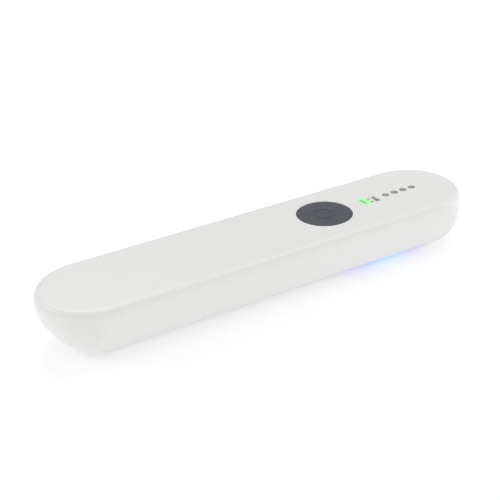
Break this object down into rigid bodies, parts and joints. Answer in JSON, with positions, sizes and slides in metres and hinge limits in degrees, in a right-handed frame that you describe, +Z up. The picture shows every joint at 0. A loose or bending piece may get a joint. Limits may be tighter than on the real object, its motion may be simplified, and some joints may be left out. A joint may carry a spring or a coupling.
{
  "type": "curing light",
  "caption": "Slim hand-held curing light wand with a flush round thumb button, indicator lights and a light window underneath.",
  "frame": {"origin": "on the surface the wand stands on, under the middle of its length and width", "axes": "+X along the wand towards the light end, +Z up out of the button face, +Y across it"},
  "size_m": [0.2, 0.0446, 0.024],
  "materials": {
    "housing_white": "satin moulded white, very fine grain",
    "button_grey": "soft-touch dark grey",
    "window_lens": "frosted, lit blue-violet from behind",
    "reflector": "metallised plastic",
    "light_guide_lit": "translucent, lit green",
    "light_guide_dark": "translucent smoke grey, unlit",
    "circuit_board": "green solder mask",
    "led_board": "white solder mask",
    "component_black": "black moulded package",
    "connector_white": "natural nylon",
    "led_package": "white package with a clear dome",
    "aluminium": "extruded",
    "steel": "zinc plated",
    "battery_foil": "laminated foil pouch",
    "silicone": "matte",
    "rubber": "matte",
    "foam": "open-cell",
    "wire_red": "insulation",
    "wire_black": "insulation"
  },
  "bodies": {
    "body": {"bar_light_guide_dark": "light_guide_dark", "bar_light_guide_lit": "light_guide_lit", "bar_light_guide_middle": "light_guide_dark", "battery_cell": "battery_foil", "battery_connector": "connector_white", "battery_foam_lower": "foam", "battery_foam_upper": "foam", "battery_protection_board": "circuit_board", "battery_wire_black": "wire_black", "battery_wire_red": "wire_red", "board_screw_1": "steel", "board_screw_2": "steel", "board_screw_3": "steel", "board_screw_4": "steel", "boost_inductor": "component_black", "button_return_pad": "silicone", "case_screw_1": "steel", "case_screw_2": "steel", "case_screw_3": "steel", "case_screw_4": "steel", "charge_chip": "component_black", "control_board": "circuit_board", "dot_light_guide": "light_guide_dark", "foot_strip_head": "rubber", "foot_strip_tail": "rubber", "heat_sink": "aluminium", "indicator_led_1": "led_package", "indicator_led_2": "led_package", "indicator_led_3": "led_package", "indicator_led_4": "led_package", "led_board": "led_board", "led_emitter_1": "led_package", "led_emitter_2": "led_package", "led_emitter_3": "led_package", "led_emitter_4": "led_package", "led_emitter_5": "led_package", "led_emitter_6": "led_package", "led_module_screw_1": "steel", "led_module_screw_2": "steel", "led_module_screw_3": "steel", "led_module_screw_4": "steel", "led_wire_black": "wire_black", "led_wire_red": "wire_red", "lower_tub": "housing_white", "mcu_chip": "component_black", "reflector": "reflector", "socket_shell": "steel", "socket_tongue": "component_black", "status_led_1": "led_package", "status_led_2": "led_package", "status_led_3": "led_package", "tact_switch": "component_black", "top_cover": "housing_white", "window_gasket": "silicone", "window_lens": "window_lens"},
    "button": {"button_cap": "button_grey"},
    "plunger": {"switch_plunger": "steel"}
  },
  "joints": [
    {"name": "button_press", "type": "slide", "parent": "body", "child": "button", "axis": [0, 0, -1], "range_m": [0, 0.0004], "stiffness_N_per_m": 600, "springref_m": -0.0015, "deforming": ["button_return_pad"]},
    {"name": "plunger_press", "type": "slide", "parent": "body", "child": "plunger", "axis": [0, 0, -1], "range_m": [0, 0.0004]}
  ],
  "couplings": [
    {"joint": "plunger_press", "follows": "button_press", "ratio": 1}
  ]
}
